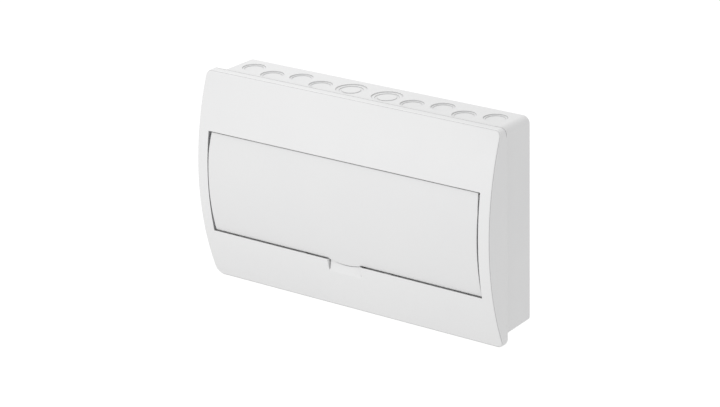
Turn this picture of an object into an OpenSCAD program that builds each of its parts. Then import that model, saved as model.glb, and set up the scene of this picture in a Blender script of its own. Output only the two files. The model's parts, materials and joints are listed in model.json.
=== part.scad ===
// Surface-mounted distribution board: one row of modular devices behind a bowed cover with a lift-up door.
// Frame: X runs along the width, the front faces -Y, Z is up. The origin is on the wall face,
// straight behind the middle of the DIN rail.

/* [Enclosure] */
// Width of the front cover
cover_w = 410; // [408:1:414]
// Height of the front cover
cover_h = 255.4; // [254:0.2:257]
// Depth from the wall to the crest of the bowed cover
cover_depth = 91; // [90:0.5:93]
// Radius of the two upper corners of the front cover
cover_top_r = 7; // [6:1:9]
// Radius of the two lower corners of the front cover
cover_bottom_r = 10; // [8:1:12]
// Radius of the bowed front, curved from top to bottom
front_bow_r = 326; // [320:1:340]
// Height of the bow's crest above the rail line
bow_crest_z = 4.3; // [1:0.1:6]
// Wall thickness of the moulded shells
wall_t = 2.2; // [2:0.1:2.2]
// Depth at which the rear edge of the cover's rim stands off the wall
rim_back = 55; // [53:1:56]

/* [Rear base] */
// Width of the rear base
base_w = 395; // [393:1:396]
// Height of the rear base
base_h = 243.4; // [242:0.1:243.6]
// Height of the base's middle above the rail line
base_lift = 2.8; // [2.4:0.1:2.9]
// Depth of the base's side walls
base_depth = 59; // [58.5:0.1:59.3]
// Radius of the two upper corners of the base
base_top_r = 8.5; // [7:0.5:10]
// Radius of the two lower corners of the base
base_bottom_r = 4; // [3:0.5:6]

/* [Door] */
// Width of the door opening
opening_w = 380; // [378:0.5:381]
// Height of the door opening
opening_h = 124; // [123:0.5:125]
// Distance of the door's middle below the rail line
opening_drop = 1.6; // [1.2:0.1:2]
// Gap above the closed door
door_gap = 1.2; // [1:0.1:1.4]
// Gap on each side of the closed door, below its tapered upper corners
side_gap = 1.4; // [1.2:0.1:1.6]
// Gap under the closed door
foot_gap = 0.9; // [0.8:0.1:1]
// Taper of the door's side edges toward its upper corners
door_taper = 1.8; // [0.5:0.1:2]
// Radius of the door's own bow, tighter than the cover's
door_bow_r = 225; // [222:1:240]
// Thickness of the door's skin
door_t = 2.2; // [2:0.1:2.4]
// Width of the finger tongue in the middle of the door's lower edge
tongue_w = 44.4; // [40:0.4:44.8]
// Drop of the finger tongue below the door opening
tongue_drop = 3.5; // [3:0.1:3.6]
// Radius of the hinge pins
hinge_pin_r = 2; // [1.8:0.1:2.2]

/* [Module row] */
// Number of modular ways
ways = 18; // [16:1:18]
// Width of one way
way_w = 18; // [17.5:0.5:18]
// Height of the device window
window_h = 46; // [45.5:0.5:47]
// Number of ways that the blanking strip closes
blanked_ways = 5; // [3:1:8]
// Depth of the rail's front faces off the wall
rail_front = 16; // [15.5:0.5:17]

/* [Cable entries] */
// Radius of the eight small knock-outs in a wall
small_knockout_r = 13.9; // [12.5:0.1:14.2]
// Radius of the two large knock-outs in a wall
large_knockout_r = 18.2; // [17:0.1:18.6]
// Spacing of the small knock-outs along the width
knockout_pitch = 35; // [34:0.5:36]
// Depth of the row of knock-outs nearer the wall
rear_row_d = 24.5; // [23:0.1:26]
// Depth of the row of knock-outs nearer the front
front_row_d = 34.2; // [33:0.1:36]

/* [Terminals] */
// Number of conductor holes in each terminal bar
terminals = 12; // [8:1:12]
// Spacing of the conductor holes
terminal_pitch = 9; // [8.5:0.5:9]
// Radius of a conductor hole
conductor_r = 2.65; // [2.4:0.05:2.7]

/* [Fixings] */
// Distance between the wall screws along the width
wall_screw_dx = 340; // [330:5:345]
// Distance between the wall screws along the height
wall_screw_dz = 200; // [195:5:205]
// Radius of the wall screw holes
wall_screw_r = 2.75; // [2.5:0.05:3]
// Distance between the cover screws along the width
cover_screw_dx = 354; // [352:1:356]
// Distance between the cover screws along the height
cover_screw_dz = 84; // [80:1:86]
// Radius of a cover screw's shank
cover_screw_r = 2; // [1.8:0.1:2.1]

/* [Hidden] */

$fn = 64;
bow_fn = 240;           // facets of the large bowed faces
corner_steps = 8;       // straight steps in one rounded corner
eps = 0.01;             // overlap that fuses two shapes
over = 1;               // overshoot of a cut past the face that it opens

run_clear = 0.06;       // radial clearance of a pin or shank that turns
fit_clear = 0.2;        // clearance between pieces of one sub-assembly
body_clear = 0.4;       // clearance between pieces that move apart
press_clear = 0.02;     // radial clearance of a hinge pin in the door's lugs

// rim
flange_t = 3;           // thickness of the return flange at the rim's rear edge
flange_clear = 0.6;     // gap between the flange and the base
flange_corner_r = 4;    // corner radius of the flange's opening, which leaves a gap at the base's upper corners

// door opening
opening_top = opening_h / 2 - opening_drop;
opening_bottom = -opening_h / 2 - opening_drop;
door_w = opening_w - 2 * side_gap;
door_top = opening_top - door_gap;
door_bottom = opening_bottom + foot_gap;
taper_z = 36;           // height at which the taper of the door's sides begins
door_rise = 0.5;        // height of the closed door's crest over the cover's crest
door_crest = cover_depth + door_rise;
door_bow_z = 4;         // height of the door's crest above the rail line
skirt_t = 1.8;          // thickness of the stiffening skirt behind the door's edges
skirt_depth = 4;        // depth of the skirt behind the door's skin
tongue_t = 1.4;         // thickness of the finger tongue
tongue_gap = 0.9;       // gap between the tongue and the slot that it closes
tongue_arc_r = (tongue_w * tongue_w / 4 + tongue_drop * tongue_drop) / (2 * tongue_drop);
hinge_drop = 8.3;       // distance of the hinge axis below the opening's upper edge
hinge_sink = 9.6;       // depth of the hinge axis behind the cover's crest
hinge_z = opening_top - hinge_drop;
hinge_d = cover_depth - hinge_sink;
lug_r = 4;
lug_t = 5;
lug_gap = 1.2;          // distance of a hinge lug from the side edge of the door
lug_x = door_w / 2 - lug_gap - lug_t;   // inner face of a hinge lug
catch_x = 60;           // distance of the snap catches from the middle
catch_w = 10;
catch_r = 1.2;          // height of a catch nub under the door's skirt
catch_sink = 3.4;       // depth of the nubs behind the hinge axis
catch_d = hinge_d - catch_sink;
catch_rib_r = 1.1;      // height of the rib that a nub snaps over
catch_lead = 1.7;       // how far the rib stands in front of the nub
pin_head_r = 2.4;
pin_head_t = 1;

// finger recess under the door
recess_w = 45.6;
recess_depth = 6;       // depth of the recess at the door's lower edge
recess_rise = 15.3;     // height of the recess's sloping floor
recess_foot = opening_bottom - recess_rise;
recess_wall = 2;
slit_w = 0.9;           // width of the slit at each end of the sloping floor
slit_foot = 2.6;        // height of the unslit part of the sloping floor

// module mask: a tray behind the door with the device window in its floor
mask_gap = 1;           // gap between the base's side walls and the mask
mask_back = base_depth + mask_gap;
mask_t = 2;
mask_front = mask_back + mask_t;
tray_step = 1.8;        // how far the tray's walls stand outside the edge of the opening
tray_wall = 2;
relief_rise = 10;       // height above the mask at which its lower wall makes room for the finger recess
bearing_r = 4;
bearing_t = 5;
bearing_end = 1;        // thickness of a bearing's closed end
window_play = 2;        // room for the devices along the row
window_w = ways * way_w + window_play;
boss_r = 6;
boss_h = 2;

// blanking strip and label
strip_w = blanked_ways * way_w;
strip_t = 1.4;
strip_lip = 2.5;        // overlap of the strip over the window's upper and lower edges
strip_leg = 1.5;
barb = 1.2;             // overlap of the snap barbs behind the mask
barb_h = 2;
label_w = 324;
label_h = 14;
label_z = 36;
label_t = 1.3;
pocket_t = 0.5;         // depth of the pocket for the card
pocket_edge_x = 1.8;
pocket_edge_z = 1.3;
card_t = 0.35;
card_edge_x = 2;
card_edge_z = 1.5;

// rail
rail_overhang = 4;      // length of rail past the row of devices at each end
rail_len = ways * way_w + 2 * rail_overhang;
rail_h = 35;
rail_channel = 27;
rail_rise = 7.5;
rail_t = 1;
rail_back = rail_front - rail_rise;
rail_slot_l = 15;
rail_slot_w = 6.2;
rail_slot_pitch = 25;
rail_slots = 13;
rail_screw_x = 150;
rail_screw_r = 1.95;
rail_screw_gap = 1;     // gap behind the tip of a rail screw
rail_post = 14;

// cover posts and screws
post_r = 5;
washer_r = 4;
washer_t = 1;
post_top = mask_back - fit_clear - washer_t - body_clear;
screw_head_r = 4;
screw_head_t = 2.6;
screw_reach = 18;       // length of shank behind the mask
screw_room = 2;         // room behind the tip of a cover screw
cross_l = 4.4;          // cross recess in a screw head
cross_w = 1;
cross_depth = 1.4;
pad_h = 2;              // height of the pads round the wall screw holes

// terminal bars
bar_w = 6.5;
bar_d = 9;
bar_end = 4;
bar_len = terminals * terminal_pitch + 2 * bar_end;
bar_back = 20;
bar_z = 96;
bar_x = 72;
bar_hole_rise = 3.6;    // height of the conductor holes above the back of the bar
bar_hole_d = bar_back + bar_hole_rise;
clamp_screw_r = 2;
clamp_head_r = 3;
clamp_head_t = 2;
clamp_gap = 0.5;        // gap between a screw's head and the bar
clamp_slot_w = 0.8;
clamp_slot_depth = 1;
foot_w = 7.5;
foot_h = 11;
foot_grip = 5;          // length of bar that one foot holds
foot_lip = 1;           // how far the bar stands out of its feet
foot_top = bar_back + bar_d - foot_lip;

// knock-outs
step_1 = 1.3;           // depth of the outer step
step_2 = 1.8;           // depth of the inner step
ring_w = 2.4;           // width of a small knock-out's outer ring
large_ring_w = 4;       // width of a large knock-out's outer ring
groove_w = 3.4;         // width of the groove inside it
base_top = base_lift + base_h / 2;
base_bottom = base_lift - base_h / 2;
large_row_d = 28;
large_x = 25;
first_small_x = 64;     // distance of the first small knock-out from the middle
small_x = [for (i = [0:3]) first_small_x + i * knockout_pitch];
rear_knockout_x = 75;
rear_knockout_z = 62;

// Depth of a bowed face at height z
function bow(r, crest, crest_z, z) = crest - r + sqrt(r * r - (z - crest_z) * (z - crest_z));

// Points of a quarter circle round c, from angle a
function corner(c, r, a) = [for (i = [0:corner_steps])
    let (t = a + 90 * i / corner_steps) [c[0] + r * cos(t), c[1] + r * sin(t)]];

// Rectangle centred on the origin, with its own radius on the upper and the lower corners
function outline(w, h, r_top, r_bottom) = concat(
    corner([w / 2 - r_top, h / 2 - r_top], r_top, 0),
    corner([-w / 2 + r_top, h / 2 - r_top], r_top, 90),
    corner([-w / 2 + r_bottom, -h / 2 + r_bottom], r_bottom, 180),
    corner([w / 2 - r_bottom, -h / 2 + r_bottom], r_bottom, 270));

// Slot with round ends, along the first axis
function slot_outline(l, w) = concat(
    corner([l / 2 - w / 2, 0], w / 2, 270), corner([l / 2 - w / 2, 0], w / 2, 0),
    corner([-l / 2 + w / 2, 0], w / 2, 90), corner([-l / 2 + w / 2, 0], w / 2, 180));

// Stands a shape drawn as width, height and depth off the wall against the wall
module stand() {
    rotate([90, 0, 0]) children();
}

// Extrudes a profile of height and depth along the width, from x0 for a length w
module across(x0, w) {
    translate([x0, 0, 0]) rotate([90, 0, 90]) linear_extrude(w) children();
}

// Round bar along the width, from x0 for a length w
module bar_across(x0, w, r) {
    translate([x0, 0, 0]) rotate([0, 90, 0]) cylinder(r = r, h = w);
}

// Box given by its low corner and its size
module block(low, size) {
    translate(low) cube(size);
}

// Everything behind a face that is bowed from top to bottom
module bow_body(r, crest, crest_z) {
    translate([-cover_w, crest_z, crest - r]) rotate([0, 90, 0])
        cylinder(r = r, h = 2 * cover_w, $fn = bow_fn);
}

// The cover's outer form, or its inside when it is inset by the wall
module cover_form(inset, back) {
    intersection() {
        translate([0, 0, back]) linear_extrude(cover_depth)
            polygon(outline(cover_w - 2 * inset, cover_h - 2 * inset,
                            cover_top_r - inset, cover_bottom_r - inset));
        bow_body(front_bow_r - inset, cover_depth - inset, bow_crest_z);
    }
}

// Outline of the base, grown by g
module base_outline(g) {
    translate([0, base_lift])
        polygon(outline(base_w + 2 * g, base_h + 2 * g, base_top_r + g, base_bottom_r + g));
}

// Cut for one knock-out, sunk along -Z from the face at z = 0
module knockout_cut(r) {
    translate([0, 0, -step_1]) cylinder(r = r, h = step_1 + over);
    translate([0, 0, -step_2]) cylinder(r = r - ring_w, h = step_2);
}

// Cut for a large knock-out, which has a third ring
module large_knockout_cut() {
    translate([0, 0, -step_1]) cylinder(r = large_knockout_r, h = step_1 + over);
    translate([0, 0, -step_2]) difference() {
        cylinder(r = large_knockout_r - large_ring_w, h = step_2);
        translate([0, 0, -over])
            cylinder(r = large_knockout_r - large_ring_w - groove_w, h = step_2 + 2 * over);
    }
}

// The row of knock-outs in the upper wall, seen from outside the wall
module knockout_row() {
    for (side = [-1, 1]) {
        translate([side * large_x, large_row_d, 0]) large_knockout_cut();
        for (i = [0:3])
            translate([side * small_x[i], i % 2 == 0 ? front_row_d : rear_row_d, 0])
                knockout_cut(small_knockout_r);
    }
}

// Places children at the four corners of a rectangle round (0, z)
module at_corners(dx, dz, z) {
    for (sx = [-1, 1], sz = [-1, 1])
        translate([sx * dx / 2, z + sz * dz / 2, 0]) children();
}

// Open tray against the wall, with posts for the cover screws and seats for the rail
module rear_base() {
    color("whitesmoke") stand() difference() {
        union() {
            difference() {
                linear_extrude(base_depth) base_outline(0);
                translate([0, 0, wall_t]) linear_extrude(base_depth) base_outline(-wall_t);
            }
            at_corners(cover_screw_dx, cover_screw_dz, 0) cylinder(r = post_r, h = post_top);
            at_corners(wall_screw_dx, wall_screw_dz, base_lift)
                cylinder(r = 2 * wall_screw_r, h = wall_t + pad_h);
            for (s = [-1, 1])
                block([s * rail_screw_x - rail_post / 2, -rail_post / 2, 0],
                      [rail_post, rail_post, rail_back]);
        }
        at_corners(cover_screw_dx, cover_screw_dz, 0)
            translate([0, 0, post_top - screw_reach - screw_room])
                cylinder(r = cover_screw_r + run_clear, h = base_depth);
        at_corners(wall_screw_dx, wall_screw_dz, base_lift)
            translate([0, 0, -over]) cylinder(r = wall_screw_r, h = base_depth);
        for (s = [-1, 1])
            translate([s * rail_screw_x, 0, wall_t]) cylinder(r = rail_screw_r + run_clear, h = base_depth);
        translate([0, base_top, 0]) rotate([-90, 0, 0]) mirror([0, 1, 0]) knockout_row();
        translate([0, base_bottom, 0]) rotate([90, 0, 0]) knockout_row();
        at_corners(2 * rear_knockout_x, 2 * rear_knockout_z, 0) mirror([0, 0, 1]) large_knockout_cut();
    }
}

// Top-hat rail with a row of slots in its web
module din_rail() {
    z1 = rail_channel / 2;
    z2 = rail_h / 2;
    color("silver") stand() difference() {
        across(-rail_len / 2, rail_len) polygon([
            [-z2, rail_front], [-z2, rail_front - rail_t], [-z1, rail_front - rail_t], [-z1, rail_back],
            [z1, rail_back], [z1, rail_front - rail_t], [z2, rail_front - rail_t], [z2, rail_front],
            [z1 - rail_t, rail_front], [z1 - rail_t, rail_back + rail_t],
            [-z1 + rail_t, rail_back + rail_t], [-z1 + rail_t, rail_front]]);
        for (i = [0:rail_slots - 1])
            translate([(i - (rail_slots - 1) / 2) * rail_slot_pitch, 0, rail_back - over])
                linear_extrude(rail_t + 2 * over) polygon(slot_outline(rail_slot_l, rail_slot_w));
    }
}

// Pan-head screws that hold the rail to the base
module rail_screws() {
    color("lightgray") stand() for (s = [-1, 1])
        translate([s * rail_screw_x, 0, 0]) difference() {
            union() {
                translate([0, 0, wall_t + rail_screw_gap])
                    cylinder(r = rail_screw_r, h = rail_back + rail_t - wall_t - rail_screw_gap);
                translate([0, 0, rail_back + rail_t]) cylinder(r = screw_head_r, h = screw_head_t);
            }
            cross_slot(rail_back + rail_t + screw_head_t);
        }
}

// Cross recess in a screw head whose top is at z
module cross_slot(z) {
    for (a = [0, 90])
        rotate([0, 0, a])
            block([-cross_l / 2, -cross_w / 2, z - cross_depth], [cross_l, cross_w, cross_depth + over]);
}

// The pair of insulating feet under a terminal bar
module bar_feet(x) {
    stand() translate([x, bar_z, 0]) for (s = [0, 1]) mirror([s, 0, 0]) difference() {
        block([bar_len / 2 - foot_grip, -foot_h / 2, wall_t], [foot_w, foot_h, foot_top - wall_t]);
        block([0, -bar_w / 2 - eps, bar_back], [bar_len / 2 + fit_clear, bar_w + 2 * eps, bar_d]);
    }
}

// Terminal bar with conductor holes along the height and clamp screw holes from the front
module terminal_bar(x) {
    stand() translate([x, bar_z, 0]) difference() {
        block([-bar_len / 2, -bar_w / 2, bar_back], [bar_len, bar_w, bar_d]);
        at_terminals() {
            translate([0, bar_w / 2 + over, bar_hole_d]) rotate([90, 0, 0])
                cylinder(r = conductor_r, h = bar_w + 2 * over);
            translate([0, 0, bar_hole_d]) cylinder(r = clamp_screw_r + run_clear, h = bar_d);
        }
    }
}

// The slotted screws that clamp the conductors
module clamp_screws(x) {
    head = bar_back + bar_d + clamp_gap;
    stand() translate([x, bar_z, 0]) at_terminals() difference() {
        union() {
            translate([0, 0, bar_hole_d + conductor_r])
                cylinder(r = clamp_screw_r, h = head - bar_hole_d - conductor_r);
            translate([0, 0, head]) cylinder(r = clamp_head_r, h = clamp_head_t);
        }
        block([-clamp_head_r - over, -clamp_slot_w / 2, head + clamp_head_t - clamp_slot_depth],
              [2 * clamp_head_r + 2 * over, clamp_slot_w, clamp_slot_depth + over]);
    }
}

// Places children at every conductor hole of a bar
module at_terminals() {
    for (i = [0:terminals - 1])
        translate([(i - (terminals - 1) / 2) * terminal_pitch, 0, 0]) children();
}

module neutral_bar_feet() { color("royalblue") bar_feet(-bar_x); }
module neutral_bar() { color("goldenrod") terminal_bar(-bar_x); }
module neutral_screws() { color("silver") clamp_screws(-bar_x); }
module earth_bar_feet() { color("seagreen") bar_feet(bar_x); }
module earth_bar() { color("goldenrod") terminal_bar(bar_x); }
module earth_screws() { color("silver") clamp_screws(bar_x); }

// Wedge between the sloping floor of the finger recess and the open front
module recess_wedge(w, sink) {
    z0 = opening_bottom + over;
    across(-w / 2, w) polygon([
        [recess_foot, bow(front_bow_r, cover_depth, bow_crest_z, recess_foot) - sink],
        [z0, bow(front_bow_r, cover_depth, bow_crest_z, opening_bottom) - recess_depth - sink],
        [z0, cover_depth + over],
        [recess_foot, cover_depth + over]]);
}

// Bowed front cover with its rim, the door opening and the finger recess
module front_cover() {
    color("white") stand() difference() {
        union() {
            difference() {
                cover_form(0, rim_back);
                cover_form(wall_t, rim_back + flange_t);
                translate([0, base_lift, rim_back - over]) linear_extrude(flange_t + 2 * over)
                    polygon(outline(base_w + 2 * flange_clear, base_h + 2 * flange_clear,
                                    flange_corner_r, flange_corner_r));
            }
            intersection() {
                recess_wedge(recess_w + 2 * recess_wall, recess_wall);
                cover_form(eps, rim_back + flange_t);
            }
        }
        block([-opening_w / 2, opening_bottom, rim_back + flange_t], [opening_w, opening_h, cover_depth]);
        recess_wedge(recess_w, 0);
        translate([0, 0, rim_back]) linear_extrude(cover_depth) tongue_outline(recess_w, tongue_gap);
        for (s = [0, 1]) mirror([s, 0, 0])
            block([recess_w / 2 - slit_w, recess_foot + slit_foot, rim_back],
                  [slit_w, recess_rise, cover_depth]);
    }
}

// Tray behind the door, with the device window, the screw bosses and the hinge bearings
module module_mask() {
    in_w = opening_w + 2 * tray_step;
    in_h = opening_h + 2 * tray_step;
    out_w = in_w + 2 * tray_wall;
    out_h = in_h + 2 * tray_wall;
    color("white") stand() difference() {
        union() {
            intersection() {
                difference() {
                    block([-out_w / 2, -out_h / 2 - opening_drop, mask_back], [out_w, out_h, cover_depth]);
                    block([-in_w / 2, -in_h / 2 - opening_drop, mask_front], [in_w, in_h, cover_depth]);
                }
                bow_body(front_bow_r - wall_t - fit_clear, cover_depth - wall_t - fit_clear, bow_crest_z);
            }
            at_corners(cover_screw_dx, cover_screw_dz, 0) translate([0, 0, mask_back])
                cylinder(r = boss_r, h = mask_t + boss_h);
            for (s = [0, 1]) mirror([s, 0, 0]) {
                translate([0, hinge_z, hinge_d]) bar_across(in_w / 2 + eps, bearing_t, bearing_r);
                translate([0, opening_bottom - tray_step, catch_d + catch_lead])
                    bar_across(catch_x - catch_w / 2, catch_w, catch_rib_r);
            }
        }
        block([-window_w / 2, -window_h / 2, mask_back - over], [window_w, window_h, mask_t + 2 * over]);
        block([-recess_w / 2 - 2 * recess_wall, opening_bottom - 3 * tray_wall, mask_front + relief_rise],
              [recess_w + 4 * recess_wall, 3 * tray_wall + over, cover_depth]);
        at_corners(cover_screw_dx, cover_screw_dz, 0) translate([0, 0, mask_back - over])
            cylinder(r = cover_screw_r + fit_clear, h = mask_t + boss_h + 2 * over);
        for (s = [0, 1]) mirror([s, 0, 0])
            translate([0, hinge_z, hinge_d])
                bar_across(in_w / 2 - over, bearing_t + over - bearing_end, hinge_pin_r + run_clear);
    }
}

// Snap-in strip over the ways that hold no device
module blanking_strip() {
    x1 = window_w / 2 - fit_clear;
    x0 = x1 - strip_w;
    leg_z = window_h / 2 - fit_clear;
    color("white") stand() union() {
        block([x0, -leg_z - strip_lip, mask_front], [strip_w, 2 * (leg_z + strip_lip), strip_t]);
        for (s = [0, 1]) mirror([0, s, 0]) {
            block([x0, leg_z - strip_leg, mask_back - barb_h],
                  [strip_w, strip_leg, mask_t + barb_h + strip_t / 2]);
            block([x0, leg_z - strip_leg, mask_back - barb_h],
                  [strip_w, strip_leg + barb, barb_h - fit_clear]);
        }
    }
}

// Blank card for naming the circuits
module label_card() {
    color("ivory") stand()
        block([-label_w / 2 + card_edge_x, label_z - label_h / 2 + card_edge_z, mask_front],
              [label_w - 2 * card_edge_x, label_h - 2 * card_edge_z, card_t]);
}

// Clear strip that holds the card
module label_window() {
    color("lightcyan", 0.4) stand() difference() {
        block([-label_w / 2, label_z - label_h / 2, mask_front], [label_w, label_h, label_t]);
        block([-label_w / 2 + pocket_edge_x, label_z - label_h / 2 + pocket_edge_z, mask_front - over],
              [label_w - 2 * pocket_edge_x, label_h - 2 * pocket_edge_z, pocket_t + over]);
    }
}

// Washers behind the mask that keep the cover screws captive
module captive_washers() {
    color("dimgray") stand() at_corners(cover_screw_dx, cover_screw_dz, 0)
        translate([0, 0, post_top + body_clear]) difference() {
            cylinder(r = washer_r, h = washer_t);
            translate([0, 0, -over]) cylinder(r = cover_screw_r + run_clear, h = washer_t + 2 * over);
        }
}

// One captive cover screw at the corner (sx, sz)
module cover_screw(sx, sz) {
    seat = mask_front + boss_h;
    color("lightgray") stand()
        translate([sx * cover_screw_dx / 2, sz * cover_screw_dz / 2, 0]) difference() {
            union() {
                translate([0, 0, mask_back - screw_reach])
                    cylinder(r = cover_screw_r, h = seat - mask_back + screw_reach);
                translate([0, 0, seat]) cylinder(r = screw_head_r, h = screw_head_t);
            }
            cross_slot(seat + screw_head_t);
        }
}

module cover_screw_top_left() { cover_screw(-1, 1); }
module cover_screw_top_right() { cover_screw(1, 1); }
module cover_screw_bottom_left() { cover_screw(-1, -1); }
module cover_screw_bottom_right() { cover_screw(1, -1); }

// Arc of the finger tongue under the door's lower edge, w wide and grown by g
module tongue_outline(w, g) {
    intersection() {
        translate([0, opening_bottom - tongue_drop + tongue_arc_r])
            circle(r = tongue_arc_r + g, $fn = bow_fn);
        translate([-w / 2, opening_bottom - 2 * tongue_drop]) square([w, 3 * tongue_drop]);
    }
}

// The door seen from the front without its tongue, drawn in by g
module panel_outline(g) {
    x = door_w / 2 - g;
    polygon([
        [-x, door_bottom + g], [x, door_bottom + g], [x, taper_z],
        [x - door_taper, door_top - g], [-x + door_taper, door_top - g], [-x, taper_z]]);
}

// Deeper hollow that thins the tongue and leaves the skirt out behind it
module tongue_hollow_outline() {
    foot = opening_bottom - 2 * tongue_drop;
    translate([-recess_w / 2, foot]) square([recess_w, door_bottom + skirt_t + eps - foot]);
}

// Bowed door with a stiffening skirt and two hinge lugs
module door() {
    color("white") stand() difference() {
        union() {
            difference() {
                intersection() {
                    linear_extrude(2 * cover_depth) {
                        panel_outline(0);
                        tongue_outline(tongue_w, 0);
                    }
                    bow_body(door_bow_r, door_crest, door_bow_z);
                }
                bow_body(door_bow_r - door_t - skirt_depth, door_crest - door_t - skirt_depth, door_bow_z);
                intersection() {
                    linear_extrude(2 * cover_depth) panel_outline(skirt_t);
                    bow_body(door_bow_r - door_t, door_crest - door_t, door_bow_z);
                }
                intersection() {
                    linear_extrude(2 * cover_depth) tongue_hollow_outline();
                    bow_body(door_bow_r - tongue_t, door_crest - tongue_t, door_bow_z);
                }
            }
            for (s = [0, 1]) mirror([s, 0, 0]) {
                translate([0, hinge_z, hinge_d]) bar_across(lug_x, lug_t, lug_r);
                translate([0, door_bottom + eps, catch_d])
                    bar_across(catch_x - catch_w / 2, catch_w, catch_r);
            }
        }
        for (s = [0, 1]) mirror([s, 0, 0])
            translate([0, hinge_z, hinge_d])
                bar_across(lug_x - over, lug_t + 2 * over, hinge_pin_r + press_clear);
    }
}

// Headed pin from a door lug into the mask's bearing; side is -1 for left and 1 for right
module hinge_pin(side) {
    pin_end = opening_w / 2 + tray_step + bearing_t - bearing_end - fit_clear;
    color("silver") stand() mirror([side < 0 ? 1 : 0, 0, 0]) translate([0, hinge_z, hinge_d]) {
        bar_across(lug_x - pin_head_t, pin_end - lug_x + pin_head_t, hinge_pin_r);
        bar_across(lug_x - pin_head_t, pin_head_t, pin_head_r);
    }
}

module hinge_pin_left() { hinge_pin(-1); }
module hinge_pin_right() { hinge_pin(1); }

rear_base();
din_rail();
rail_screws();
neutral_bar_feet();
neutral_bar();
neutral_screws();
earth_bar_feet();
earth_bar();
earth_screws();
front_cover();
module_mask();
blanking_strip();
label_card();
label_window();
captive_washers();
cover_screw_top_left();
cover_screw_top_right();
cover_screw_bottom_left();
cover_screw_bottom_right();
door();
hinge_pin_left();
hinge_pin_right();
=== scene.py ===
"""Looks of a surface-mounted distribution board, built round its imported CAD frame.

Lengths in the mesh code are millimetres: x along the width, z up, d the depth off the wall.
"""

import json
import math

import bmesh
import bpy
from mathutils import Matrix, Vector


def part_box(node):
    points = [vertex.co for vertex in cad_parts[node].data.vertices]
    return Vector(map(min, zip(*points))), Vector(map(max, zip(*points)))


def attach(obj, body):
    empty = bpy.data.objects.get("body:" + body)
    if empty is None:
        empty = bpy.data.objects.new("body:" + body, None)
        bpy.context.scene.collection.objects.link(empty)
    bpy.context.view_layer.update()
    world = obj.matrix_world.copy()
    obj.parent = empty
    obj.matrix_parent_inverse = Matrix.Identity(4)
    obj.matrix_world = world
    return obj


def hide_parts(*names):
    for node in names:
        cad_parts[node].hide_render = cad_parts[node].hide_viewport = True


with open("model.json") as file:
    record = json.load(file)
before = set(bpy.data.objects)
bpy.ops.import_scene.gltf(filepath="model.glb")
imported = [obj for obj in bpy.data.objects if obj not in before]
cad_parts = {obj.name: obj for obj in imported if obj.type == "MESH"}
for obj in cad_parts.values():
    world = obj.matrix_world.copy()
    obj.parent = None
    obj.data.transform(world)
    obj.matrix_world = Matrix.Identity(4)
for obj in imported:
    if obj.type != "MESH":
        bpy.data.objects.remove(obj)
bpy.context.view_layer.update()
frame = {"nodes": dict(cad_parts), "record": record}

MM = 0.001
PAD_EDGE = 0.4                      # softened edge of a block
SHARP_ANGLE = 32                    # degrees above which an edge stays sharp
TINY = 1e-4                         # millimetres within which two heights count as the same
COVER_LOW, COVER_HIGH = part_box("front_cover")
BASE_LOW, BASE_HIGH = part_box("rear_base")
DOOR_LOW, DOOR_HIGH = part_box("door")


# ---------------------------------------------------------------- mesh tools

def arc(cx, cz, r, start, n):
    """Points of a quarter circle in n steps, anticlockwise from the angle start in degrees."""
    turns = [math.radians(start + 90 * i / n) for i in range(n + 1)]
    return [(cx + r * math.cos(a), cz + r * math.sin(a)) for a in turns]


def rounded(w, h, radii, cz=0.0, sides=(), n=8):
    """Rounded rectangle, anticlockwise from the right side's foot, with its middle at the height cz.

    radii are those of the upper and the lower corners. Both sides get a point at each height in sides.
    """
    top, low = radii
    x, z1, z0 = w / 2, cz + h / 2, cz - h / 2
    points = [(x, z) for z in sorted(sides)]
    points += arc(x - top, z1 - top, top, 0, n) + arc(-x + top, z1 - top, top, 90, n)
    points += [(-x, z) for z in sorted(sides, reverse=True)]
    return points + arc(-x + low, z0 + low, low, 180, n) + arc(x - low, z0 + low, low, 270, n)


def fillet(r, n):
    """Steps (inset, drop) of a rounded edge, from the flat face out to the wall."""
    turns = [math.pi / 2 * i / n for i in range(n + 1)]
    return [(r * (1 - math.sin(a)), -r * (1 - math.cos(a))) for a in turns]


def run_of(loop, test):
    """The vertices of a closed loop that pass the test, in order, from the first after one that doesn't."""
    n = len(loop)
    first = next(i for i in range(n) if test(loop[i].co) and not test(loop[i - 1].co))
    found = []
    while test(loop[(first + len(found)) % n].co) and len(found) < n:
        found.append(loop[(first + len(found)) % n])
    return found


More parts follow.
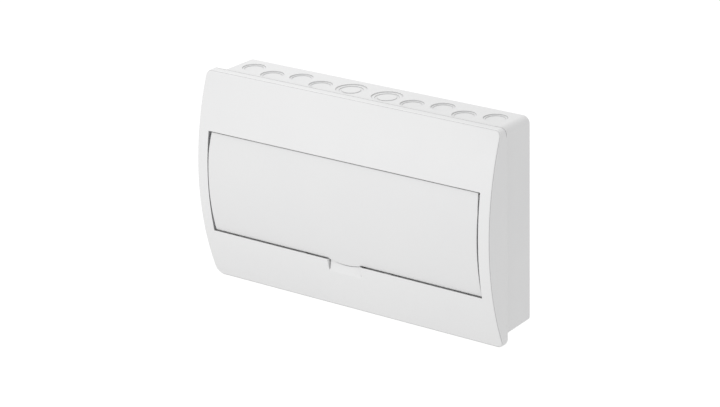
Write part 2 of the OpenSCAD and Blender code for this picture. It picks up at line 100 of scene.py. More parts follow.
class Form:
    """A mesh drawn flat, as width, height and depth. It may be cut and bent before it becomes an object."""

    def __init__(self):
        self.bm = bmesh.new()

    def loop(self, points, t):
        """New vertices at the points, at the depth t, which is a number or a function of width and height."""
        value = t if callable(t) else (lambda x, z: t)
        return [self.bm.verts.new((x, z, value(x, z))) for x, z in points]

    def face(self, *runs):
        """One face through the runs of vertices, one run after the other."""
        return self.bm.faces.new([v for run in runs for v in run])

    def skin(self, loops):
        """Quads between each closed loop and the next."""
        for a, b in zip(loops, loops[1:]):
            for i in range(len(a)):
                j = (i + 1) % len(a)
                self.bm.faces.new((a[i], a[j], b[j], b[i]))

    def holed(self, outer, inner, low, high):
        """Fills between an outer and an inner loop in four faces, split at the heights low and high."""
        for test in (
            lambda c: c.y > high - TINY,
            lambda c: c.y < low + TINY,
            lambda c: c.x < 0 and low - TINY < c.y < high + TINY,
            lambda c: c.x > 0 and low - TINY < c.y < high + TINY,
        ):
            self.face(run_of(outer, test), reversed(run_of(inner, test)))

    def cut(self, axis, values, among=None):
        """Cuts the faces that pass the test among at each value along axis (0 is width, 1 is height)."""
        normal = Vector((0, 0, 0))
        normal[axis] = 1
        for value in values:
            faces = [f for f in self.bm.faces if among is None or among(f)]
            geom = set(faces)
            for f in faces:
                geom.update(f.edges)
                geom.update(f.verts)
            bmesh.ops.bisect_plane(
                self.bm, geom=list(geom), dist=TINY, plane_co=normal * value, plane_no=normal)

    def move(self, place):
        """Moves every vertex to place(x, z, t)."""
        for v in self.bm.verts:
            v.co = place(*v.co)

    def stand(self):
        """Turns width, height and depth off the wall into x, z and -y in metres."""
        for v in self.bm.verts:
            v.co = Vector((v.co.x, -v.co.z, v.co.y)) * MM

    def make(self, name):
        self.stand()
        bmesh.ops.recalc_face_normals(self.bm, faces=self.bm.faces)
        return mesh_object(name, self.bm)


def mesh_object(name, bm):
    mesh = bpy.data.meshes.new(name)
    bm.to_mesh(mesh)
    bm.free()
    o = bpy.data.objects.new(name, mesh)
    bpy.context.scene.collection.objects.link(o)
    return o


def levels(low, high, step, fixed=()):
    """Heights from low to high about step apart, leaving room round the fixed ones."""
    n = max(1, round((high - low) / step))
    found = [low + (high - low) * i / n for i in range(n + 1)]
    return [z for z in found if all(abs(z - f) > 0.25 * step for f in fixed)]


def finished_mesh(bm):
    """The mesh of a closed solid, to be placed by gather."""
    bmesh.ops.recalc_face_normals(bm, faces=bm.faces)
    mesh = bpy.data.meshes.new("solid")
    bm.to_mesh(mesh)
    bm.free()
    return mesh


def revolve(profile, n):
    """Closed solid of n sides turned about the depth axis, from (radius, depth) points from end to end."""
    bm = bmesh.new()
    turns = [2 * math.pi * i / n for i in range(n)]
    rings = [[bm.verts.new((r * math.cos(a), r * math.sin(a), d)) for a in turns] for r, d in profile]
    for a, b in zip(rings, rings[1:]):
        for i in range(n):
            j = (i + 1) % n
            bm.faces.new((a[i], a[j], b[j], b[i]))
    bm.faces.new(rings[0])
    bm.faces.new(reversed(rings[-1]))
    return finished_mesh(bm)


def pad(w, h, r, low, high):
    """Closed block with rounded corners and softened upper edges, in millimetres off the wall."""
    form = Form()
    steps = ((0, low), (0, high - PAD_EDGE), (0.3 * PAD_EDGE, high - 0.3 * PAD_EDGE), (PAD_EDGE, high))
    rings = [form.loop(rounded(w - 2 * u, h - 2 * u, (r, r), n=4), d) for u, d in steps]
    form.skin(rings)
    form.face(rings[0])
    form.face(rings[-1])
    return finished_mesh(form.bm)


def gather(name, parts):
    """One object from many (mesh, matrix) pairs, in metres."""
    bm = bmesh.new()
    for mesh, matrix in parts:
        copy = mesh.copy()
        copy.transform(matrix)
        bm.from_mesh(copy)
        bpy.data.meshes.remove(copy)
    bmesh.ops.recalc_face_normals(bm, faces=bm.faces)
    return mesh_object(name, bm)


def combine(o, tool, how):
    """Applies a boolean of tool to o, and removes tool."""
    m = o.modifiers.new("combine", "BOOLEAN")
    m.object, m.operation, m.solver = tool, how, "EXACT"
    bpy.context.view_layer.update()
    shape = bpy.data.meshes.new_from_object(o.evaluated_get(bpy.context.evaluated_depsgraph_get()))
    o.modifiers.clear()
    old, o.data = o.data, shape
    bpy.data.meshes.remove(old)
    bpy.data.objects.remove(tool)


def smooth(o):
    """Smooth shading that keeps sharp edges sharp and large faces flat."""
    for p in o.data.polygons:
        p.use_smooth = True
    o.data.set_sharp_from_angle(angle=math.radians(SHARP_ANGLE))
    m = o.modifiers.new("normals", "WEIGHTED_NORMAL")
    m.keep_sharp = True
    return o


def bow(r, crest, crest_z, z):
    """Depth of a bowed face at height z."""
    return crest - r + math.sqrt(r * r - (z - crest_z) ** 2)


TURNS = {
    "front": Matrix(((1, 0, 0), (0, 0, -1), (0, 1, 0))),
    "back": Matrix(((1, 0, 0), (0, 0, 1), (0, -1, 0))),
    "up": Matrix.Identity(3),
    "down": Matrix(((1, 0, 0), (0, -1, 0), (0, 0, -1))),
    "right": Matrix(((0, 0, 1), (0, 1, 0), (-1, 0, 0))),
}


def at(x, z, d, turn="front"):
    """Matrix in metres that places a solid drawn in millimetres. turn names the side that its z points to."""
    return Matrix.Translation((x * MM, -d * MM, z * MM)) @ TURNS[turn].to_4x4() @ Matrix.Scale(MM, 4)


# ---------------------------------------------------------------- materials

class Nodes:
    """Short hand for building a material's node tree."""

    def __init__(self, name):
        self.mat = bpy.data.materials.new(name)
        self.mat.use_nodes = True
        self.tree = self.mat.node_tree
        self.shader = self.tree.nodes["Principled BSDF"]

    def add(self, kind, inputs=None, **settings):
        node = self.tree.nodes.new(kind)
        for key, value in settings.items():
            setattr(node, key, value)
        for key, value in (inputs or {}).items():
            if isinstance(value, bpy.types.NodeSocket):
                self.tree.links.new(value, node.inputs[key])
            else:
                node.inputs[key].default_value = value
        return node

    def noise(self, coords, scale, detail=2.0, rough=0.5):
        inputs = {"Vector": coords, "Scale": scale, "Detail": detail, "Roughness": rough}
        return self.add("ShaderNodeTexNoise", inputs).outputs["Fac"]

    def span(self, value, low, high, start=0.3, end=0.7):
        """Maps the value's stretch from start to end onto low to high."""
        inputs = {"Value": value, "From Min": start, "From Max": end, "To Min": low, "To Max": high}
        return self.add("ShaderNodeMapRange", inputs).outputs["Result"]

    def colour_mix(self, blend):
        """A colour mix node with its two colour inputs and its colour output."""
        node = self.add("ShaderNodeMix", data_type="RGBA", blend_type=blend)
        first, second = [s for s in node.inputs if s.type == "RGBA"]
        return node, first, second, next(s for s in node.outputs if s.type == "RGBA")

    def mix(self, share, a, b):
        """A colour between a and b."""
        node, first, second, out = self.colour_mix("MIX")
        self.tree.links.new(share, node.inputs["Factor"])
        first.default_value, second.default_value = (*a, 1), (*b, 1)
        return out

    def bump(self, height, strength, distance, normal=None):
        inputs = {"Height": height, "Strength": strength, "Distance": distance}
        if normal is not None:
            inputs["Normal"] = normal
        return self.add("ShaderNodeBump", inputs).outputs["Normal"]

    def painted_gap_shade(self, tone, reach, low):
        """The tone, with painted shade: an ambient occlusion node darkens it toward the share low where other
        faces stand closer than reach.
        """
        # ambient occlusion here drives painted shade in the colour, not a real change of the plastic's tone
        openness = self.add("ShaderNodeAmbientOcclusion", {"Distance": reach}, samples=12).outputs["AO"]
        share = self.span(openness, low, 1, 0.35, 0.9)
        node, first, second, out = self.colour_mix("MULTIPLY")
        node.inputs["Factor"].default_value = 1
        self.tree.links.new(tone, first)
        self.tree.links.new(share, second)
        return out

    def link(self, value, name):
        self.tree.links.new(value, self.shader.inputs[name])

    def coords(self, stretch=(1, 1, 1)):
        out = self.add("ShaderNodeTexCoord").outputs["Object"]
        return self.add("ShaderNodeMapping", {"Vector": out, "Scale": stretch}).outputs["Vector"]


PAINTED_SHADE_REACH, PAINTED_SHADE_SHARE = 0.003, 0.6   # painted shade in narrow gaps: metres within which a gap counts as narrow, and how much of its tone a gap keeps


def plastic(name, colour, shade, rough=(0.42, 0.52), grain=0.5):
    """Moulded plastic: fine grain, slow tone changes, uneven gloss, and painted shade that darkens its colour
    in narrow gaps.
    """
    k = Nodes(name)
    c = k.coords()
    tone = k.mix(k.span(k.noise(c, 9, 3), 0, 1), colour, shade)
    # painted shade: ambient occlusion darkens the base colour in narrow gaps
    k.link(k.painted_gap_shade(tone, PAINTED_SHADE_REACH, PAINTED_SHADE_SHARE), "Base Color")
    k.link(k.span(k.noise(c, 60, 3), *rough), "Roughness")
    fine = k.noise(c, 2400, 2, 0.6)
    coarse = k.noise(c, 420, 2)
    k.link(k.bump(fine, 0.35 * grain, 0.00005, k.bump(coarse, 0.2 * grain, 0.0001)), "Normal")
    return k.mat


def metal(name, colour, shade, rough, stretch):
    """Drawn or plated metal with fine lines along its length and a few dull patches."""
    k = Nodes(name)
    lines = k.noise(k.coords(stretch), 900, 3, 0.6)
    patches = k.noise(k.coords(), 55, 4, 0.6)
    k.link(k.mix(k.span(patches, 0, 1), colour, shade), "Base Color")
    k.link(k.span(patches, *rough), "Roughness")
    k.link(k.bump(lines, 0.4, 0.00003), "Normal")
    k.shader.inputs["Metallic"].default_value = 1.0
    return k.mat


def clear(name):
    """Clear polished plastic with slight differences in gloss."""
    k = Nodes(name)
    k.link(k.span(k.noise(k.coords(), 80, 3), 0.04, 0.14), "Roughness")
    k.shader.inputs["Base Color"].default_value = (0.93, 0.96, 0.97, 1)
    k.shader.inputs["Transmission Weight"].default_value = 1.0
    k.shader.inputs["IOR"].default_value = 1.49
    return k.mat


def board(name):
    """Uncoated card with visible paper fibres."""
    k = Nodes(name)
    fibres = k.noise(k.coords((1, 1, 3)), 700, 4, 0.7)
    k.link(k.mix(k.span(fibres, 0, 1), (0.80, 0.79, 0.74), (0.70, 0.69, 0.64)), "Base Color")
    k.link(k.bump(fibres, 0.4, 0.00004), "Normal")
    k.shader.inputs["Roughness"].default_value = 0.9
    return k.mat


MATERIALS = {
    "cover_plastic": plastic("white_plastic", (0.775, 0.775, 0.775), (0.762, 0.762, 0.765)),
    # the door's plastic is a darker copy of the cover's white plastic: painted shade that makes the door read
    # darker than the cover
    "door_plastic": plastic("door_shaded_white_plastic", (0.750, 0.750, 0.750), (0.738, 0.738, 0.741)),
    "base_plastic": plastic(
        "grey_white_plastic", (0.775, 0.775, 0.775), (0.758, 0.759, 0.762), (0.45, 0.58)),
    "zinc_steel": metal(
        "zinc_plated_steel", (0.72, 0.73, 0.75), (0.62, 0.63, 0.66), (0.28, 0.42), (0.02, 1, 1)),
    "screw_steel": metal(
        "plated_screw_steel", (0.66, 0.67, 0.70), (0.52, 0.53, 0.57), (0.22, 0.38), (1, 0.05, 1)),
    "terminal_brass": metal(
        "drawn_brass", (0.80, 0.60, 0.27), (0.68, 0.48, 0.20), (0.25, 0.40), (0.02, 1, 1)),
    "blue_plastic": plastic("blue_plastic", (0.03, 0.13, 0.42), (0.025, 0.11, 0.36), (0.40, 0.52)),
    "green_plastic": plastic("green_plastic", (0.04, 0.28, 0.08), (0.035, 0.24, 0.07), (0.40, 0.52)),
    "label_board": board("ruled_card"),
    "clear_plastic": clear("clear_plastic"),
    "washer_fibre": plastic("washer_fibre", (0.05, 0.045, 0.04), (0.09, 0.08, 0.07), (0.7, 0.85), grain=1.0),
}


def dress(o, slot, body, replaced):
    """Gives a new piece its material and its body, and hides the CAD node that it stands for."""
    o.data.materials.clear()
    o.data.materials.append(MATERIALS[slot])
    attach(o, body)
    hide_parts(replaced)


# ---------------------------------------------------------------- camera, floor and light

AZIMUTH, ELEVATION, ROLL = (math.radians(a) for a in (37.2164, 20.3677, -1.3857))
DISTANCE = 3.02131
FOCAL_LENGTH, SENSOR_WIDTH = 132.842, 36    # millimetres
AIM = Vector((-0.003625, -0.045, -0.004081))

forward = Vector((
    -math.sin(AZIMUTH) * math.cos(ELEVATION),
    math.cos(AZIMUTH) * math.cos(ELEVATION),
    -math.sin(ELEVATION)))
level = Vector((math.cos(AZIMUTH), math.sin(AZIMUTH), 0))
upright = level.cross(forward)
right = level * math.cos(ROLL) + upright * math.sin(ROLL)
up = upright * math.cos(ROLL) - level * math.sin(ROLL)
lens = bpy.data.cameras.new("camera")
lens.sensor_width = SENSOR_WIDTH
lens.lens = FOCAL_LENGTH
lens.clip_end = 100
camera = bpy.data.objects.new("camera", lens)
spot = AIM - forward * DISTANCE
camera.matrix_world = Matrix((
    (right.x, up.x, -forward.x, spot.x),
    (right.y, up.y, -forward.y, spot.y),
    (right.z, up.z, -forward.z, spot.z),
    (0, 0, 0, 1)))
bpy.context.scene.collection.objects.link(camera)
bpy.context.scene.camera = camera

FLOOR_HALF = 14.0
FLOOR_GAP = 0.0002                  # gap under the cover's foot
FLOOR_Z = COVER_LOW.z - FLOOR_GAP
FLOOR_CORNERS = ((-1, -1), (1, -1), (1, 1), (-1, 1))
bm = bmesh.new()
bm.faces.new([bm.verts.new((x * FLOOR_HALF, y * FLOOR_HALF, FLOOR_Z)) for x, y in FLOOR_CORNERS])
floor = mesh_object("studio_floor", bm)
k = Nodes("floor_paint")
k.link(k.mix(k.span(k.noise(k.coords(), 3, 3), 0, 1), (0.09, 0.09, 0.09), (0.08, 0.08, 0.08)), "Base Color")
k.link(k.span(k.add("ShaderNodeLightPath").outputs["Is Camera Ray"], 0.74, 0.98, 0, 1), "Emission Strength")
k.shader.inputs["Roughness"].default_value = 0.9
k.shader.inputs["Specular IOR Level"].default_value = 0.0
k.shader.inputs["Emission Color"].default_value = (1, 1, 1, 1)
floor.data.materials.append(k.mat)

world = bpy.data.worlds.new("studio")
world.use_nodes = True
world.node_tree.nodes["Background"].inputs["Color"].default_value = (1, 1, 1, 1)
world.node_tree.nodes["Background"].inputs["Strength"].default_value = 0.80
bpy.context.scene.world = world


def soft_box(name, place, size, strength):
    """A square light at place, aimed at the origin. strength is how bright it makes a white surface there."""
    place = Vector(place)
    lamp = bpy.data.lights.new(name, "AREA")
    lamp.shape, lamp.size = "SQUARE", size
    lamp.energy = strength * (math.pi * place.length) ** 2
    o = bpy.data.objects.new(name, lamp)
    o.matrix_world = Matrix.Translation(place) @ place.to_track_quat("Z", "Y").to_matrix().to_4x4()
    bpy.context.scene.collection.objects.link(o)


soft_box("box_above", (-0.38, 0.24, 0.93), 0.6, 0.24)
soft_box("box_front", (-0.14, -1.05, 0.26), 0.6, 0.245)
bpy.context.scene.view_settings.view_transform = "Standard"


# ---------------------------------------------------------------- front cover

COVER_W, COVER_H = (COVER_HIGH - COVER_LOW).x / MM, (COVER_HIGH - COVER_LOW).z / MM
CREST, RIM_BACK = -COVER_LOW.y / MM, -COVER_HIGH.y / MM    # depths of the bow's crest and the rim's rear edge
BOW_R, BOW_Z = 326.0, 4.3           # radius of the bowed front and height of its crest
CORNER_R, LOW_R = 7.0, 10.0         # radii of the cover's upper and lower corners
WALL = 2.2                          # thickness of the shells
EDGE_R = 2.2                        # rounding of the front's outer edge
REAR_R = 1.2                        # rounding of the rim's rear edge
FLANGE_D = RIM_BACK + 3.0           # depth of the return flange's front face
FLANGE_R = 4.0                      # corner radius of the flange's opening
FLANGE_GAP = 0.6                    # gap between the flange and the base
OPEN_W, OPEN_H, OPEN_Z = 380.0, 124.0, -1.6    # door opening, and the height of its middle
OPEN_TOP, OPEN_LOW = OPEN_Z + OPEN_H / 2, OPEN_Z - OPEN_H / 2
OPEN_R, OPEN_EDGE = 0.6, 0.35       # corner radius and edge rounding of the opening
OPEN_LAND = 0.6                     # depth of the opening's edge before it is cut back behind
RECESS_HALF, RECESS_RISE, RECESS_SINK = 22.8, 15.3, 6.0    # finger recess: half width, height and depth
RECESS_FOOT = OPEN_LOW - RECESS_RISE
RECESS_WALL = 2.0                   # thickness of the recess's walls
SLIT_W, SLIT_FOOT = 0.9, 2.6        # slit at each end of the recess's floor, and the unslit part of the floor
GROOVE_TURN, GROOVE_HALF = 45, 6    # groove in the rounded front edge: its turn and half its width in degrees
GROOVE_T = 0.35                     # depth of that groove
SEAM_D = RIM_BACK + 1.6             # depth off the wall of the groove in the rim's upper side
SEAM_W, SEAM_T = 0.7, 0.5           # width and depth of that groove
SEAM_CORNER_R = 10.5                # radius of its floor at the upper corners, where it is deepest
TONGUE_HALF, TONGUE_DROP, TONGUE_T, TONGUE_GAP = 22.2, 3.5, 1.4, 0.9
TONGUE_R = (TONGUE_HALF ** 2 + TONGUE_DROP ** 2) / (2 * TONGUE_DROP)
TONGUE_Z = OPEN_LOW - TONGUE_DROP + TONGUE_R
BENT_LIMIT = -20                    # flat depths above this are measured from the bowed face
ABSOLUTE = 100.0                    # flat depths below it are depths off the wall minus this
THIN = -4                           # flat depth above which a face belongs to the front's skin
BASE_W, BASE_H = (BASE_HIGH - BASE_LOW).x / MM, (BASE_HIGH - BASE_LOW).z / MM
BASE_Z = (BASE_HIGH + BASE_LOW).z / 2 / MM


def soft_ramp(s, w):
    """0 below -w, s above w, and a smooth bend between."""
    return 0.0 if s < -w else s if s > w else (s + w) ** 2 / (4 * w)


def soft_step(s):
    """0 below 0, 1 above 1, and a smooth rise between."""
    s = min(1.0, max(0.0, s))
    return s * s * (3 - 2 * s)


def recess(x, z, half):
    """How deep the finger recess is at a point, for a half width."""
    slope = RECESS_SINK / (OPEN_LOW + 1 - RECESS_FOOT)
    return slope * soft_ramp(z - RECESS_FOOT, 1.2) * soft_step((half - abs(x)) / 1.0 + 0.5)


def tongue_slot():
    """Cutter for the slot under the door's tongue, in metres: an arc that is open to the door opening."""
    half, reach, n = RECESS_HALF - 0.1, TONGUE_R + TONGUE_GAP, 24
    xs = [half * (2 * i / n - 1) for i in range(n + 1)]
    points = [(x, TONGUE_Z - math.sqrt(reach ** 2 - x ** 2)) for x in xs]
    points += [(half, OPEN_LOW + 2), (-half, OPEN_LOW + 2)]
    form = Form()
    ends = [form.loop(points, d) for d in (FLANGE_D, CREST + 2)]
    form.skin(ends)
    for end in ends:
        form.face(end)
    form.stand()
    return finished_mesh(form.bm)


def make_cover():
    """The bowed shell with its rim, return flange, door opening and finger recess."""
    form = Form()
    high, low = OPEN_TOP + OPEN_EDGE, OPEN_LOW - OPEN_EDGE
    undercut = WALL - OPEN_LAND
    spread = undercut - OPEN_EDGE

    def ring(inset, t, spread=0.0):
        radii = (max(0.3, CORNER_R - inset), max(0.3, LOW_R - inset))
        sides = (low - spread, high + spread)
        return form.loop(rounded(COVER_W - 2 * inset, COVER_H - 2 * inset, radii, sides=sides), t)

    def edge_ring(turn, sink):
        """Ring on the rounded front edge. It sinks into the edge, save along the foot of the cover."""
        plain, sunk = [
            (EDGE_R - r * math.sin(math.radians(turn)), r * math.cos(math.radians(turn)) - EDGE_R)
            for r in (EDGE_R, EDGE_R - sink)
        ]
        foot = LOW_R / 2 - COVER_H / 2
        a, b = [
            rounded(COVER_W - 2 * u, COVER_H - 2 * u, (CORNER_R - u, LOW_R - u), sides=(low, high))
            for u, t in (plain, sunk)
        ]
        points = [p if p[1] < foot else q for p, q in zip(a, b)]
        return form.loop(points, lambda x, z: plain[1] if z < foot else sunk[1])

    def seam_ring(u, t):
        radii = (CORNER_R + u * (SEAM_CORNER_R - CORNER_R), LOW_R)
        points = rounded(COVER_W, COVER_H - u * SEAM_T, radii, -u * SEAM_T / 2, (low, high))
        return form.loop(points, SEAM_D + t * SEAM_W - ABSOLUTE)

    def hole(grow, t):
        g, r = FLANGE_GAP + grow, FLANGE_R + grow
        return form.loop(rounded(BASE_W + 2 * g, BASE_H + 2 * g, (r, r), BASE_Z, (low, high)), t)

    def opening(grow, t):
        r = OPEN_R + grow
        return form.loop(rounded(OPEN_W + 2 * grow, OPEN_H + 2 * grow, (r, r), OPEN_Z, n=3), t)

    bank = GROOVE_HALF + 1
    edge = [edge_ring(turn, 0) for turn in (0, 12, 25, GROOVE_TURN - bank)]
    edge += [edge_ring(GROOVE_TURN + s * GROOVE_HALF, GROOVE_T) for s in (-1, 1)]
    edge += [edge_ring(turn, 0) for turn in (GROOVE_TURN + bank, 65, 78, 90)]
    seam = [seam_ring(u, t) for u, t in ((0, 1), (1, 0.9), (1, 0.1), (0, 0))]
    outer = edge + seam
    back = [ring(u, RIM_BACK - ABSOLUTE - t) for u, t in reversed(fillet(REAR_R, 3))]
    flange = [hole(0.4, RIM_BACK - ABSOLUTE), hole(0, RIM_BACK + 0.4 - ABSOLUTE),
              hole(0, FLANGE_D - 0.4 - ABSOLUTE), hole(0.4, FLANGE_D - ABSOLUTE)]
    inside = [ring(WALL + 0.8, FLANGE_D - ABSOLUTE, spread), ring(WALL, FLANGE_D + 0.8 - ABSOLUTE, spread),
              ring(WALL, -WALL - 1.2, spread), ring(WALL + 0.35, -WALL - 0.35, spread),
              ring(WALL + 1.2, -WALL, spread)]
    form.skin(outer + back + flange + inside)
    rim = [opening(u, t) for u, t in fillet(OPEN_EDGE, 3)]
    rim += [opening(0, -OPEN_LAND), opening(undercut, -WALL)]
    form.skin(rim)
    form.holed(edge[0], rim[0], low, high)
    form.holed(inside[-1], rim[-1], low - spread, high + spread)

    def bent(f):
        return any(v.co.z > BENT_LIMIT for v in f.verts)

    grows = (0, OPEN_EDGE, undercut)
    fixed = [z + s * grow for z, s in ((OPEN_TOP, 1), (OPEN_LOW, -1)) for grow in grows]
    form.cut(1, levels(-COVER_H / 2 + LOW_R, COVER_H / 2 - CORNER_R, 5.9, fixed), bent)

    def near(f):
        return all(v.co.z > THIN and RECESS_FOOT - 5 < v.co.y < OPEN_LOW + 1e-3 for v in f.verts)

    bend = levels(RECESS_FOOT - 1.4, RECESS_FOOT + 1.4, 0.4)
    form.cut(1, [RECESS_FOOT - 3] + bend + levels(RECESS_FOOT + 3, OPEN_LOW - 2.5, 2), near)
    offsets = (-1.2, -0.5, -0.35, -0.2, 0, 0.2, 0.35, 0.5)
    walls = [h + o for h in (RECESS_HALF, RECESS_HALF + RECESS_WALL) for o in offsets]
    form.cut(0, [s * x for x in walls for s in (-1, 1)], near)

    def place(x, z, t):
        if t < BENT_LIMIT:
            return Vector((x, z, t + ABSOLUTE))
        if z < OPEN_LOW + 1e-3 and t > THIN:
            t -= recess(x, z, RECESS_HALF + (RECESS_WALL if t < -WALL / 2 else 0))
        return Vector((x, z, bow(BOW_R, CREST, BOW_Z, z) + t))

    form.move(place)
    shell = form.make("cover_shell")
    slit = pad(SLIT_W, RECESS_RISE - SLIT_FOOT + 1, 0.2, FLANGE_D, CREST)
    z = (RECESS_FOOT + SLIT_FOOT + OPEN_LOW + 1) / 2
    slits = [(slit, at(s * (RECESS_HALF - SLIT_W / 2), z, 0)) for s in (-1, 1)]
    combine(shell, gather("slits", slits), "DIFFERENCE")
    combine(shell, gather("slot", [(tongue_slot(), Matrix.Identity(4))]), "DIFFERENCE")
    return shell


dress(smooth(make_cover()), "cover_plastic", "cover", "front_cover")


# ---------------------------------------------------------------- door

DOOR_GAP, FOOT_GAP = 1.2, 0.9         # gaps above and under the closed door
DOOR_W = (DOOR_HIGH - DOOR_LOW).x / MM
DOOR_TOP, DOOR_EDGE = OPEN_TOP - DOOR_GAP, OPEN_LOW + FOOT_GAP    # upper edge, lower edge beside the tongue
TAPER, TAPER_Z = 1.8, 36.0          # taper of the door's sides above a height
DOOR_CREST, DOOR_R, DOOR_Z = -DOOR_LOW.y / MM, 225.0, 4.0    # the door's bow: crest, radius and crest height
DOOR_T = 2.2
SKIRT_T, SKIRT_D = 2.4, 4.0         # inner face of the skirt in from the door's edge, and its depth
SKIRT_IN = 1.0                      # outer face of the skirt in from the door's edge
HINGE_Z, HINGE_D = OPEN_TOP - 8.3, CREST - 9.6
LUG_T, LUG_R = 5.0, 4.0
LUG_X = DOOR_W / 2 - 1.2 - LUG_T    # inner face of a hinge lug
PIN_R = 2.0
CATCH_X, CATCH_W, CATCH_R = 60.0, 10.0, 1.7    # snap catch nubs
CATCH_Z, CATCH_D = DOOR_EDGE + 0.5, HINGE_D - 3.4


def door_outline(inset):
    """The door's outline drawn in by inset, and the first and last index of the points along its tongue."""
    x, top, low = DOOR_W / 2 - inset, DOOR_TOP - inset, DOOR_EDGE + inset
    r = max(0.3, 1.4 - inset)
    half, reach = TONGUE_HALF - inset, TONGUE_R - inset
    n = 24
    xs = [half * (2 * i / n - 1) for i in range(n + 1)]
    tongue = [(u, TONGUE_Z - math.sqrt(reach ** 2 - u ** 2)) for u in xs]
    points = [(x, TAPER_Z)] + arc(x - TAPER - r, top - r, r, 0, 4) + arc(-x + TAPER + r, top - r, r, 90, 4)
    points += [(-x, TAPER_Z)] + arc(-x + r, low + r, r, 180, 4)
    points += [(-RECESS_HALF - 0.8, low), (-RECESS_HALF, low), (-half, low)]
    first = len(points) - 1
    points += tongue + [(half, low)]
    last = len(points) - 1
    points += [(RECESS_HALF, low), (RECESS_HALF + 0.8, low)] + arc(x - r, low + r, r, 270, 4)
    return points, first, last


def make_door():
    """The bowed panel with its tongue, skirt, hinge lugs and catch nubs."""
    form = Form()

    def ring(inset, t, tongue_t=None):
        points, first, last = door_outline(inset)
        loop = form.loop(points, t)
        if tongue_t is not None:
            for v in loop[first - 1:last + 2]:
                v.co.z = tongue_t
        return loop, first, last

    back, foot = -DOOR_T, -DOOR_T - SKIRT_D
    rings = [ring(u, t) for u, t in fillet(0.5, 3)]
    rings += [ring(0, -0.6), ring(SKIRT_IN, -1.5, -TONGUE_T), ring(SKIRT_IN + 0.1, foot + 0.3, -TONGUE_T),
              ring(SKIRT_IN + 0.4, foot, -TONGUE_T), ring(SKIRT_T - 0.3, foot, -TONGUE_T),
              ring(SKIRT_T, foot + 0.3, -TONGUE_T), ring(SKIRT_T + 0.35, back)]
    form.skin([r[0] for r in rings])
    for loop, first, last in (rings[0], rings[-1]):
        form.face(loop[:first + 1], loop[last:])
        form.face(loop[first:last + 1])
    form.cut(1, levels(DOOR_EDGE + 3, DOOR_TOP - 3, 4))

    def tongue(f):
        return all(v.co.y < DOOR_EDGE + 3 for v in f.verts)

    form.cut(1, levels(OPEN_LOW - TONGUE_DROP + 0.7, DOOR_EDGE, 1, (OPEN_LOW,)), tongue)
    form.move(lambda x, z, t: Vector((x, z, bow(DOOR_R, DOOR_CREST, DOOR_Z, z) + t)))
    door = form.make("door_panel")

    lug = revolve([(LUG_R - 0.4, 0), (LUG_R, 0.4), (LUG_R, LUG_T - 0.4), (LUG_R - 0.4, LUG_T)], 48)
    nub = revolve([(CATCH_R - 0.5, 0), (CATCH_R, 0.5), (CATCH_R, CATCH_W - 0.5), (CATCH_R - 0.5, CATCH_W)],
                  32)
    lugs = [at(x, HINGE_Z, HINGE_D, "right") for x in (LUG_X, -LUG_X - LUG_T)]
    nubs = [at(s * CATCH_X - CATCH_W / 2, CATCH_Z, CATCH_D, "right") for s in (-1, 1)]
    combine(door, gather("added", [(lug, m) for m in lugs] + [(nub, m) for m in nubs]), "UNION")
    bore = revolve([(PIN_R + 0.05, -2), (PIN_R + 0.05, LUG_T + 2)], 32)
    combine(door, gather("bores", [(bore, m) for m in lugs]), "DIFFERENCE")
    return door


dress(smooth(make_door()), "door_plastic", "door", "door")


# ---------------------------------------------------------------- rear base

BASE_DEPTH = -BASE_LOW.y / MM
BASE_TOP_R, BASE_LOW_R = 8.5, 4.0
BASE_DRAFT = 2.6                    # how much higher the lower wall is at the back
SMALL_R, LARGE_R = 13.9, 18.2       # radii of the knock-outs
RING, LARGE_RING, GROOVE_RING = 2.4, 4.0, 7.4    # how far the inner rings lie inside those radii
STEP_1, STEP_2 = 1.2, 2.0           # depths of the outer and the inner step of a knock-out
FIRST_SMALL_X, SMALL_PITCH = 64, 35
SMALL_X = [FIRST_SMALL_X + SMALL_PITCH * i for i in range(4)]
SMALL_D = (34.2, 24.5)
LARGE_X, LARGE_D = 25.0, 28.0
REAR_DX, REAR_DZ = 150, 124         # spacing of the knock-outs in the rear wall
POST_TOP, POST_R, POST_HOLE_R = 58.4, 5.0, 2.06
POST_HOLE_DEPTH = 20
WALL_HOLE_R, BOSS_R = 2.75, 5.5


def make_base():
    """The open tray with softened edges, before posts and holes."""
    form = Form()

    def ring(inset, d):
        radii = (BASE_TOP_R - inset, max(0.5, BASE_LOW_R - inset))
        return form.loop(rounded(BASE_W - 2 * inset, BASE_H - 2 * inset, radii, BASE_Z), d)

    rear = [ring(u, -t) for u, t in fillet(0.5, 3)]
    front = [ring(u, BASE_DEPTH + t) for u, t in reversed(fillet(0.5, 3))]
    inner = [ring(WALL - 0.5, BASE_DEPTH), ring(WALL - 0.15, BASE_DEPTH - 0.15), ring(WALL, BASE_DEPTH - 0.5)]
    root = [ring(WALL + 1.0 - u, WALL + 1.0 + t) for u, t in fillet(1.0, 4)]
    form.skin(rear + front + inner + root)
    form.face(rear[0])
    form.face(root[-1])
    return form.make("base_tray")


def knockout(r, inner, groove=None):
    """Cutter for a stepped knock-out. Its mouth is at 0 and it sinks along -z.

    inner is the inner step's radius, and groove the inner radius of the ring when that step is only a ring.
    """
    c = 0.12    # softened edges
    steps = [(r + c, 1), (r + c, 0), (r, -c), (r, -STEP_1 + c), (r - c, -STEP_1),
             (inner + c, -STEP_1), (inner, -STEP_1 - c), (inner, -STEP_2 + c), (inner - c, -STEP_2)]
    if groove:
        steps += [(groove + c, -STEP_2), (groove, -STEP_2 + c), (groove, -STEP_1 - c), (groove - c, -STEP_1)]
    return revolve(steps, 72)


def corners(dx, dz, z=0.0):
    """The four corners of a rectangle with its middle at the height z."""
    return [(sx * dx / 2, z + sz * dz / 2) for sx in (-1, 1) for sz in (-1, 1)]


POSTS = corners(354, 84)
WALL_SCREWS = corners(340, 200, BASE_Z)
SEAT_X, SEAT_TOP, SEAT_W = 150, 8.5, 14
PILOT_R = 2.01


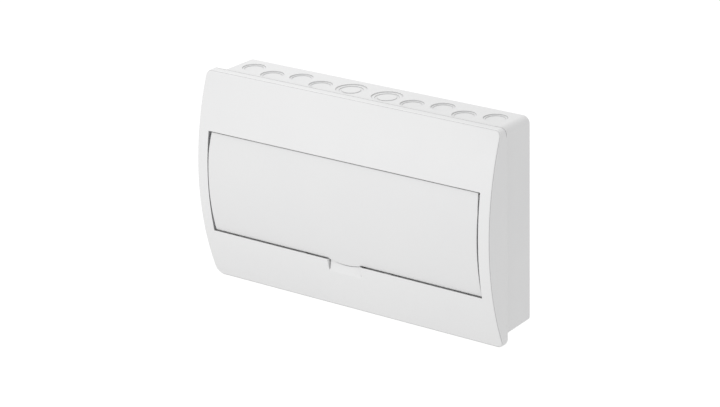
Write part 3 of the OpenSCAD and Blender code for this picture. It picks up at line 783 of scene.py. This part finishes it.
def finish_base(base):
    """Adds the posts, bosses and rail seats, cuts the holes and knock-outs, and slopes the lower wall."""
    floor_d = WALL - 0.5    # depth at which the solids root in the rear wall
    post = revolve([
        (POST_HOLE_R, POST_TOP - POST_HOLE_DEPTH), (POST_HOLE_R, POST_TOP - 0.3),
        (POST_HOLE_R + 0.3, POST_TOP), (POST_R - 0.3, POST_TOP), (POST_R, POST_TOP - 0.3),
        (POST_R, WALL + 1.0), (POST_R + 0.3, WALL + 0.3),
        (POST_R + 1, WALL - 0.05), (POST_R + 1, floor_d)], 40)
    boss = revolve([
        (BOSS_R - 0.3, WALL + 2), (BOSS_R, WALL + 1.7), (BOSS_R, WALL + 0.6),
        (BOSS_R + 0.6, WALL - 0.05), (BOSS_R + 0.6, floor_d)], 40)
    seat = pad(SEAT_W, SEAT_W, 1.0, floor_d, SEAT_TOP)
    solids = [(post, at(x, z, 0)) for x, z in POSTS] + [(boss, at(x, z, 0)) for x, z in WALL_SCREWS]
    solids += [(seat, at(s * SEAT_X, 0, 0)) for s in (-1, 1)]
    combine(base, gather("solids", solids), "UNION")
    mouth = WALL_HOLE_R + 0.35
    through = revolve([
        (WALL_HOLE_R, -1), (WALL_HOLE_R, WALL + 1.7), (mouth, WALL + 2.05), (mouth, WALL + 4)], 40)
    pilot = revolve([(PILOT_R, WALL + 0.5), (PILOT_R, SEAT_TOP + 1)], 32)
    small = knockout(SMALL_R, SMALL_R - RING)
    large = knockout(LARGE_R, LARGE_R - LARGE_RING, LARGE_R - GROOVE_RING)
    cuts = [(through, at(x, z, 0)) for x, z in WALL_SCREWS]
    cuts += [(pilot, at(s * SEAT_X, 0, 0)) for s in (-1, 1)]
    cuts += [(large, at(x, z, 0, "back")) for x, z in corners(REAR_DX, REAR_DZ)]
    for z, turn in ((BASE_Z + BASE_H / 2, "up"), (BASE_Z - BASE_H / 2, "down")):
        for s in (-1, 1):
            cuts.append((large, at(s * LARGE_X, z, LARGE_D, turn)))
            cuts += [(small, at(s * x, z, SMALL_D[i % 2], turn)) for i, x in enumerate(SMALL_X)]
    combine(base, gather("cuts", cuts), "DIFFERENCE")
    for v in base.data.vertices:
        if v.co.z < BASE_LOW.z + (BASE_LOW_R + 0.01) * MM:
            v.co.z += BASE_DRAFT * (MM + v.co.y / BASE_DEPTH)
    return base


base = finish_base(make_base())
dress(smooth(base), "base_plastic", "base", "rear_base")


# ---------------------------------------------------------------- CAD nodes that keep their shape

SLOT_OF = {p["node"]: p["material_slot"] for p in frame["record"]["subparts"]}
# softened edges in millimetres, where they aren't the usual ones
USUAL_EDGE = 0.25
EDGE = {"din_rail": 0.15, "module_mask": 0.35, "blanking_strip": 0.2, "label_card": 0.0, "label_window": 0.2}
for name, o in frame["nodes"].items():
    if o.hide_render:
        continue
    if not o.material_slots:
        o.data.materials.append(None)
    for s in o.material_slots:
        s.material = MATERIALS[SLOT_OF[name]]
    weld = o.modifiers.new("weld", "WELD")
    weld.merge_threshold = 0.00001
    flat = o.modifiers.new("flat", "DECIMATE")
    flat.decimate_type, flat.angle_limit = "DISSOLVE", math.radians(0.5)
    width = EDGE.get(name, USUAL_EDGE)
    if width:
        edge = o.modifiers.new("edge", "BEVEL")
        edge.width, edge.segments, edge.angle_limit = width * MM, 2, math.radians(40)
        edge.miter_outer = "MITER_ARC"
    normals = o.modifiers.new("normals", "WEIGHTED_NORMAL")
    normals.keep_sharp = False
